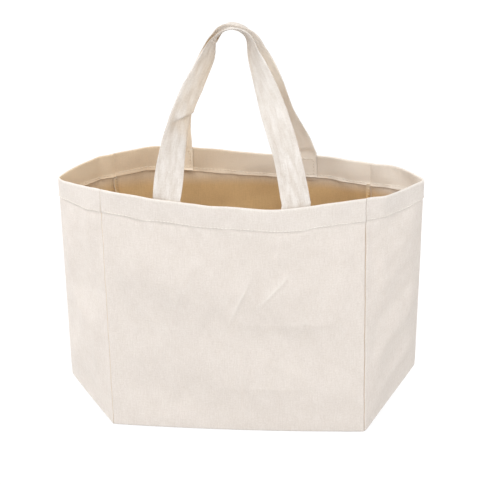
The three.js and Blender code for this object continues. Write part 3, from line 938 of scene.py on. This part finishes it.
def base_cloth():
    columns, end_depth = edge_columns(BOTTOM_WIDTH / 2)
    rows, edge_depth = edge_columns(BOTTOM_DEPTH / 2 + BASE_BOW)
    u, v = columns[None, :], rows[:, None]
    x = np.broadcast_to(u * BOTTOM_WIDTH / 2, (len(rows), len(columns)))
    front, back = (wall_points(side, u, np.array(0.0), 0)[..., 1] for side in WALL_NAMES)
    y = lerp(front, back, (v + 1) / 2)
    cloth = stack(x, y)
    inner = smoothstep(1 - np.abs(u), 0, BASE_STILL[0]) * smoothstep(1 - np.abs(v), 0, BASE_STILL[1])
    z = FOOT + inner * (BASE_RISE + ripples(x, y, BASE_SEED, *BASE_WAVES))
    sunk = BASE_SEAM_DEPTH * math.sqrt(0.5)
    x = x - sunk * end_depth[None, :] * np.sign(u)
    y = y - sunk * edge_depth[:, None] * np.sign(v)
    z = z + sunk * np.maximum(end_depth[None, :], edge_depth[:, None])
    return sheet_piece("base_cloth", stack(x, y, z), canvas_cloth, cloth, towards=(0, 0, 1))


# Paths

def distances(path, power=1):
    """How far along a path each of its points lies, with each step raised to a power."""
    steps = np.linalg.norm(np.diff(path[:, :3], axis=0), axis=1) ** power
    return np.concatenate([[0], np.cumsum(steps)])


def sample(path, run, at):
    """The columns of a path, whose points lie at run along it, read at other places."""
    return np.stack([np.interp(at, run, column) for column in path.T], axis=1)


def resample(path, step):
    """Points at even steps along a path, with as many more values per point as it has columns."""
    path = np.asarray(path, float)
    run = distances(path)
    return sample(path, run, np.linspace(0, run[-1], int(run[-1] / step) + 1))


def catmull_rom(points, steps=24):
    """A smooth line through the points; values past the third are carried along evenly."""
    points = np.asarray(points, float)
    points = np.vstack([2 * points[0] - points[1], points, 2 * points[-1] - points[-2]])
    knots = distances(points, 0.5)
    line = []
    for i in range(1, len(points) - 2):
        p, k = points[i - 1:i + 3], knots[i - 1:i + 3]
        t = np.linspace(k[1], k[2], steps, endpoint=False)[:, None]
        a = [lerp(p[j], p[j + 1], (t - k[j]) / (k[j + 1] - k[j])) for j in range(3)]
        b = [lerp(a[j], a[j + 1], (t - k[j]) / (k[j + 2] - k[j])) for j in range(2)]
        spot = lerp(b[0], b[1], (t - k[1]) / (k[2] - k[1]))
        spot[:, 3:] = lerp(p[1, 3:], p[2, 3:], (t - k[1]) / (k[2] - k[1]))
        line.append(spot)
    return np.vstack(line + [points[-2:-1]])


def rings(middle, sideways, up, radius, sides):
    """Rings of points round a line, each spread over its two directions."""
    angle = np.linspace(0, 2 * math.pi, sides, endpoint=False)[None, :, None]
    return middle[:, None] + radius * (np.cos(angle) * sideways[:, None] + np.sin(angle) * up[:, None])


# Sewing

def stitch_row(path, normals, seed):
    """Stitches along a path on a surface: each is a short thread that dives in at both ends."""
    draw = np.random.RandomState(seed)
    line = resample(np.concatenate([path, normals], axis=1), STITCH_STEP)
    run = STITCH_STEP * np.arange(len(line))
    t = np.linspace(0, 1, STITCH_RINGS)
    lie = THREAD_RADIUS * (STITCH_LIE - STITCH_DIVE * (2 * t - 1) ** 4)
    radius = THREAD_RADIUS * np.sqrt(np.clip(1 + STITCH_TIP - (2 * t - 1) ** 6, STITCH_TIP, 1))
    points, faces = [], []
    for k in range(int(run[-1] / STITCH_PITCH)):
        start, end = k * STITCH_PITCH + STITCH_GAP / 2, (k + 1) * STITCH_PITCH - STITCH_GAP / 2
        values = sample(line, run, lerp(start, end, t) + draw.uniform(-STITCH_SLIP, STITCH_SLIP))
        normal = unit(values[:, 3:])
        sideways = np.cross(normal, unit(np.gradient(values[:, :3], axis=0)))
        middle = values[:, :3] + sideways * draw.uniform(-STITCH_WANDER, STITCH_WANDER)
        middle = middle + normal * lie[:, None]
        stitch = rings(middle, sideways, STITCH_FLATNESS * normal, radius[:, None, None], STITCH_SIDES)
        faces += tube_faces(STITCH_RINGS, STITCH_SIDES, k * STITCH_RINGS * STITCH_SIDES)
        points.append(stitch.reshape(-1, 3))
    return np.concatenate(points), faces


def thread_piece(name, rows):
    """One object of several rows of stitches."""
    points, faces, first = [], [], 0
    for seed, (path, normals) in enumerate(rows):
        row_points, row_faces = stitch_row(path, normals, seed + 1)
        points.append(row_points)
        faces += [tuple(first + i for i in f) for f in row_faces]
        first += len(row_points)
    return thread_object(name, np.concatenate(points), faces)


def hem_thread(name, line):
    """The stitches of a hem, outside and inside; line gives their path at a distance off the cloth."""
    rows = []
    for surface in (CANVAS / 2, -HEM_PITCH - CANVAS / 2):
        path = line(surface)
        rows.append((path, unit(line(surface + np.sign(surface)) - path)))
    return thread_piece(name, rows)


def hem_places(half_length):
    return np.linspace(-1, 1, HEM_STITCH_POINTS) * (1 - HEM_STITCH_END / half_length)


def wall_line(side, x, z, lift):
    """A path on a wall, lifted off its cloth; z is the height it would have under a level rim."""
    across = x / half_width(z)
    points = wall_points(side, across, z, wall_lift(side, x, z) + lift)
    points[:, 2] = raised(z, wall_rise(side, across))
    return points


def wall_hem_thread(name, side):
    across = hem_places(TOP_WIDTH / 2)
    z = hem_line(across * half_width(HEM_STITCH), WALL_HEM_SEED[side]) + STITCH_RAISE
    return hem_thread(name, lambda lift: wall_line(side, across * half_width(z), z, lift))


def side_hem_thread(name, end):
    across = hem_places(SIDE_HALF)
    along = across * SIDE_HALF
    z = hem_line(along, SIDE_HEM_SEED[end]) + STITCH_RAISE
    return hem_thread(name, lambda lift: side_points(end, across, z, side_lift(end, along, z) + lift))


def overlock(name, root, run, inwards, flat, wave, narrow):
    """Thread wound round a raw edge, out over the edge and back."""
    turns = run[-1] / OVERLOCK_PITCH
    theta = np.linspace(0, 2 * math.pi * turns, int(turns * OVERLOCK_POINTS))
    along = theta / (2 * math.pi) * OVERLOCK_PITCH
    reach = SEAM_ALLOWANCE + OVERLOCK_OVER + (np.cos(theta) - 1) * OVERLOCK_REACH / 2
    reach = reach * np.interp(along, run, narrow)
    bend = np.interp(along, run, wave) * (reach / SEAM_ALLOWANCE).clip(0, None) ** 2
    around = np.sign(np.sin(theta)) * np.abs(np.sin(theta)) ** OVERLOCK_SQUARE
    off = (CANVAS + OVERLOCK_CLEAR) * around + bend
    path = sample(root, run, along) + (SEAM_START + reach)[:, None] * inwards + off[:, None] * flat
    out = np.cos(theta)[:, None] * inwards + np.sin(theta)[:, None] * flat
    tangent = unit(np.gradient(path, axis=0))
    sideways = unit(np.cross(out, tangent))
    tube = rings(path, sideways, np.cross(tangent, sideways), OVERLOCK_RADIUS, OVERLOCK_SIDES)
    return thread_object(f"{name}_overlock", tube, tube_faces(*tube.shape[:2]), inwards)


def overlocked_edge(name, root, inwards, flat, tuck=None):
    """A seam's two raw edges, pressed together, with thread overlocked round them.
    root is the line where they leave the seam, inwards their direction and flat the direction across them.
    Over its last tuck millimetres the edge narrows and lies over, to go in under the hem."""
    root = resample(root, CELL)
    run = np.arange(len(root)) * CELL
    under = smoothstep(run, run[-1] - tuck, run[-1]) if tuck else np.zeros(len(run))
    wave = waver(run, ALLOWANCE_WAVER) + TUCK_LEAN * under
    narrow = 1 - TUCK_NARROW * under
    deep = np.linspace(0, SEAM_ALLOWANCE, ALLOWANCE_COLUMNS)
    reach = SEAM_START + deep * narrow[:, None]
    off = wave[:, None] * (deep / SEAM_ALLOWANCE) ** 2
    points = root[:, None] + reach[..., None] * inwards + off[..., None] * flat
    cloth = stack(SEAM_START + deep, run[:, None])
    strip = sheet_piece(f"{name}_allowance", points, edge_cloth, cloth, 2 * CANVAS, inwards)
    return strip, overlock(name, root, run, inwards, flat, wave, narrow)


def upright_edge(name, end, side):
    z = np.linspace(SEAM_ALLOWANCE + 3 * CANVAS, RIM - HEM - CANVAS, EDGE_POINTS)
    root = stack(end * half_width(z), side * half_depth(z), z)
    inwards = seam_inwards(end, side)
    return overlocked_edge(name, root, inwards, np.cross(inwards, (0, 0, 1)), HEM_TUCK)


def base_edge(name, side):
    reach = 1 - 2 * SEAM_ALLOWANCE / (BOTTOM_WIDTH / 2)
    across = np.linspace(-reach, reach, EDGE_POINTS)
    root = wall_points(side, across, np.full_like(across, FOOT), 0)
    inwards = unit((0, -side, 1))
    return overlocked_edge(name, root, inwards, np.cross(inwards, (1, 0, 0)))


def base_end_edge(name, end):
    reach = BOTTOM_DEPTH / 2 - 2 * SEAM_ALLOWANCE
    y = np.linspace(-reach, reach, EDGE_POINTS)
    root = stack(end * BOTTOM_WIDTH / 2, y, FOOT)
    inwards = unit((-end, 0, 1))
    return overlocked_edge(name, root, inwards, np.cross(inwards, (0, 1, 0)))


# Straps

def tail_x(handle, end):
    return handle["shift"] + end * STRAP_SPREAD


def tail_middle(handle, end):
    across = np.array(tail_x(handle, end) / (TOP_WIDTH / 2))
    return wall_points(handle["side"], across, np.array(float(RIM)), -TAIL_INSET)


def tail_direction(handle, end):
    """Level direction along the wall, towards +x, at a strap end."""
    side = handle["side"]
    slope = -2 * BOW[side] * tail_x(handle, end) / (TOP_WIDTH / 2) ** 2
    return unit((1, side * slope, 0))


def bend_y(handle):
    return (tail_middle(handle, LEFT)[1] + tail_middle(handle, RIGHT)[1]) / 2


def loop_rows(handle):
    """Rows of points across a loop, from its left end over the top to its right end."""
    side, top = handle["side"], np.array(handle["top"], float)
    foot_y = bend_y(handle)

    def leg(end, points):
        x, y, _ = tail_middle(handle, end)
        return [(x, y, STRAP_FOOT, 0)] + [
            (end * out, lerp(foot_y, top[1], share), lerp(BEND, top[2], share), turn)
            for share, out, turn in points
        ]

    line = leg(LEFT, handle["left"]) + [(*top, handle["top_turn"])] + leg(RIGHT, handle["right"])[::-1]
    line = resample(catmull_rom(line), STRAP_ROW)
    middle, turn = line[:, :3], np.radians(line[:, 3:])
    lean = unit((0, top[1] - foot_y, top[2] - BEND))
    outwards = np.array((0, side * lean[2], -side * lean[1]))
    square = -side * np.cross(unit(np.gradient(middle, axis=0)), outwards)
    left_half = np.arange(len(line)) < np.argmax(middle[:, 2])
    level = np.where(left_half[:, None], tail_direction(handle, LEFT), -tail_direction(handle, RIGHT))
    share = (middle[:, 2:] - RIM) / (top[2] - RIM)
    inside = unit(lerp(level, square, smoothstep(share, 0, LEG_SETTLE)))
    across = inside * np.cos(turn) + outwards * np.sin(turn)
    return middle[:, None] + across[:, None] * STRAP_OFFSETS[None, :, None]


def tail_rows(handle, end):
    """Rows of points across a strap end, from its sewn end up to the rim."""
    side = handle["side"]
    z = np.arange(RIM - TAIL_DEPTH, TAIL_STOP, TAIL_ROW)[:, None]
    x = tail_middle(handle, end)[0] - end * STRAP_OFFSETS[None, :]
    under = np.minimum(z, RIM)
    points = wall_points(side, x / half_width(under), under + 0 * x, wall_lift(side, x, under) - TAIL_INSET)
    points[..., 2] = raised(under, through(RIM_RISE[side], x)) + z - under
    return points


def fold_step(off, length, soft):
    """Rises steeply at a line, and sinks again over the given length behind it."""
    return np.exp(-np.clip(off, 0, None) / length) * smoothstep(off, -soft, soft)


def strap_folds(handle, height, run):
    """How far a strap stands off its plain form where it leaves the rim, and halfway up one leg.
    height is that of each row's middle, and run its distance along the strap."""
    free = np.flatnonzero(height > RIM + FOOT_FOLD)
    total = np.zeros((len(run), STRAP_COLUMNS))
    for row, onwards in ((free[0], 1), (free[-1], -1)):
        off = onwards * (run[:, None] - run[row]) + FOOT_FOLD_SLANT * STRAP_OFFSETS
        total -= FOOT_FOLD_HEIGHT * fold_step(off, FOOT_FOLD_LENGTH, FOOT_FOLD_SOFT)
    if handle["side"] == FRONT:
        row = np.argmax(height > LEG_FOLD)
        off = run[:, None] - run[row] - LEG_FOLD_SLANT * STRAP_OFFSETS
        deep = LEG_FOLD_HEIGHT * smoothstep(STRAP_OFFSETS, *LEG_FOLD_ACROSS)
        total -= deep * fold_step(off, LEG_FOLD_LENGTH, LEG_FOLD_SOFT)
        total += LEG_FOLD_ROLL * deep * fold_step(-off, LEG_FOLD_UNDER, LEG_FOLD_SOFT)
    return total


def strap_shade(handle, height, run, flat, inner):
    """Painted shade on a strap's points: on its inner face, mainly near the arch where the straps lie against
    each other, and in the hollow below the fold in its leg.
    """
    from_top = run - run[np.argmax(height)]
    shade = inner * through(handle["shade"], from_top)[:, None]
    if handle["side"] == FRONT:
        below = run[np.argmax(height > LEG_FOLD)] - run[:, None]
        hollow = bell(flat, HOLLOW_PLACE, HOLLOW_WIDTH)
        hollow = hollow * smoothstep(below, *HOLLOW_START) * smoothstep(-below, *HOLLOW_END)
        shade = np.maximum(shade, LEG_FOLD_SHADE * hollow * ~inner)
    return shade


def strap(handle):
    """One flat strap with round edges, from its left end over the loop to its right end, and its length."""
    side = handle["side"]
    plain = np.concatenate([tail_rows(handle, LEFT), loop_rows(handle), tail_rows(handle, RIGHT)[::-1]])
    run = distances(plain[:, MIDDLE])
    climb = (plain[:, MIDDLE, 2:] - RIM) / (handle["top"][2] - RIM)
    normal = unit(np.cross(np.gradient(plain, axis=0), np.gradient(plain, axis=1)))
    lift = ripples(run[:, None], STRAP_WAVE_CROSS * STRAP_OFFSETS, handle["seed"], *STRAP_WAVES)
    hollow = (2 * STRAP_OFFSETS / STRAP_WIDTH) ** 2 - 1 / 3
    lift = lift + handle["cup"] * smoothstep(climb, *CUP_RANGE) * hollow
    lift = lift + strap_folds(handle, plain[:, MIDDLE, 2], run)
    sheet = plain + lift[..., None] * normal
    half = STRAP_THICKNESS / 2 * np.cos(STRAP_ANGLE) ** STRAP_EDGE
    upper, lower = (sheet + face * normal * half[None, :, None] for face in (1, -1))
    ring = np.concatenate([upper, lower[:, -2:0:-1]], axis=1)
    around = ring.shape[1]
    flat = np.concatenate([STRAP_OFFSETS, STRAP_OFFSETS[-2:0:-1]])
    inner = side * np.sign(np.arange(around) - STRAP_COLUMNS + 0.5) > 0
    below_arch = 1 - smoothstep(climb, *ARCH)
    leg_wear = STRAP_TOP_WEAR * smoothstep(climb, *HELD) * below_arch
    # painted light on the inner faces, less at the arch; the legs are worn paler where held
    wear = np.maximum(handle["inner_wear"] * inner * lerp(ARCH_PAINTED_LIGHT, 1, below_arch), leg_wear)
    shade = strap_shade(handle, sheet[:, MIDDLE, 2], run, flat, inner)
    cloth = stack(flat, run[:, None])
    faces = tube_faces(*ring.shape[:2])
    piece = new_object(f"{handle['name']}_strap", ring, faces, strap_cloth, cloth, wear=wear, shade=shade)
    finish_surface(piece, STRAP_SHARP)
    # painted warm shade on the straps, weaker at the arch
    inner_shade = STRAP_INNER_SHADE * lerp(ARCH_INNER_SHADE, 1, below_arch)
    paint_inner_shade(piece, share=np.repeat(inner_shade, around))
    return piece, run[-1]


def tail_thread(handle, end):
    """A frame of stitches on a strap end, inside the hem."""
    side = handle["side"]
    wide = STRAP_WIDTH / 2 - TAIL_STITCH_MARGIN
    low, high = HEM_STITCH + TAIL_STITCH_RISE, RIM - TAIL_STITCH_MARGIN
    corners = [(-wide, low, 0), (wide, low, 0), (wide, high, 0), (-wide, high, 0), (-wide, low, 0)]
    path = resample(corners, TAIL_STITCH_STEP)
    surface = -TAIL_INSET - STRAP_THICKNESS / 2
    x, z = tail_middle(handle, end)[0] + path[:, 0], path[:, 1]
    line, further = (wall_line(side, x, z, lift) for lift in (surface, surface - 1))
    return thread_piece(f"{handle['name']}_{END_NAMES[end]}_tail_thread", [(line, unit(further - line))])


# Floor and light

def add_floor():
    corners = [(x * FLOOR_REACH, y * FLOOR_REACH, 0) for x, y in ((-1, -1), (1, -1), (1, 1), (-1, 1))]
    mesh = bpy.data.meshes.new("floor")
    mesh.from_pydata(corners, [], [(0, 1, 2, 3)])
    material, tree = new_material("floor")
    plain = add(tree, "ShaderNodeBsdfDiffuse", {"Color": FLOOR_COLOUR})
    white = add(tree, "ShaderNodeEmission", {"Color": WHITE, "Strength": FLOOR_GLOW})
    ray = add(tree, "ShaderNodeLightPath")
    share = math_node(tree, "MULTIPLY", ray.outputs["Is Camera Ray"], GLOW_SHARE)
    add(tree, "ShaderNodeOutputMaterial", {0: mix_shader(tree, share, plain, white).outputs[0]})
    mesh.materials.append(material)
    link("floor", mesh)


def add_world():
    world = bpy.data.worlds.new("studio")
    bpy.context.scene.world = world
    world.use_nodes = True
    tree = world.node_tree
    tree.nodes.clear()
    ray = add(tree, "ShaderNodeLightPath")
    soft = add(tree, "ShaderNodeBackground", {"Color": WHITE, "Strength": SKY_LIGHT})
    white = add(tree, "ShaderNodeBackground", {"Color": WHITE, "Strength": 1.0})
    both = mix_shader(tree, ray.outputs["Is Camera Ray"], soft, white)
    add(tree, "ShaderNodeOutputWorld", {0: both.outputs[0]})


def add_lamp(name, place, size, power):
    data = bpy.data.lights.new(name, "AREA")
    data.shape = "DISK"
    data.size = size
    data.energy = power
    lamp = link(name, data)
    lamp.location = place
    lamp.rotation_euler = (Vector(LAMP_AIM) - Vector(place)).to_track_quat("-Z", "Y").to_euler()


bpy.context.scene.view_settings.view_transform = "Standard"
add_camera()
add_floor()
add_world()
for lamp in LAMPS:
    add_lamp(*lamp)


# Pieces

def settle(piece, slot, *nodes):
    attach(piece, "bag")
    if nodes:
        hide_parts(*nodes)


def settle_edge(strip, thread, node):
    settle(strip, "seam_edge", node)
    settle(thread, "thread")


base = base_cloth()
settle(base, "canvas", "bottom_panel")
for side, name in WALL_NAMES.items():
    wall = wall_cloth(f"{name}_cloth", side)
    settle(wall, "canvas", f"{name}_panel")
    settle(wall_hem_thread(f"{name}_hem_thread", side), "thread", f"{name}_hem_stitch")
    settle_edge(*base_edge(f"{name}_base", side), f"{name}_base_seam")
for end, name in END_NAMES.items():
    gusset = side_cloth(f"{name}_cloth", end)
    settle(gusset, "canvas", f"{name}_gusset")
    settle(side_hem_thread(f"{name}_hem_thread", end), "thread", f"{name}_hem_stitch")
    settle_edge(*base_end_edge(f"{name}_base", end), f"{name}_base_seam")
for side, wall_name in WALL_NAMES.items():
    for end, end_name in END_NAMES.items():
        name = f"{wall_name}_{end_name}"
        settle_edge(*upright_edge(name, end, side), f"{name}_seam")
for handle in (FRONT_HANDLE, REAR_HANDLE):
    name = f"{handle['name']}_handle"
    piece, length = strap(handle)
    y = bend_y(handle) * MM
    low, high = ((0, y, (BEND + reach) * MM) for reach in (-BLEND_REACH, BLEND_REACH))
    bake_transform(piece)
    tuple(low)
    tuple(high)
    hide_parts(f"{name}_loop", f"{name}_left_tail", f"{name}_right_tail")
    wall_name = f"{WALL_NAMES[handle['side']]}_cloth"
    for end, end_name in END_NAMES.items():
        settle(tail_thread(handle, end), "thread", f"{name}_{end_name}_stitch")
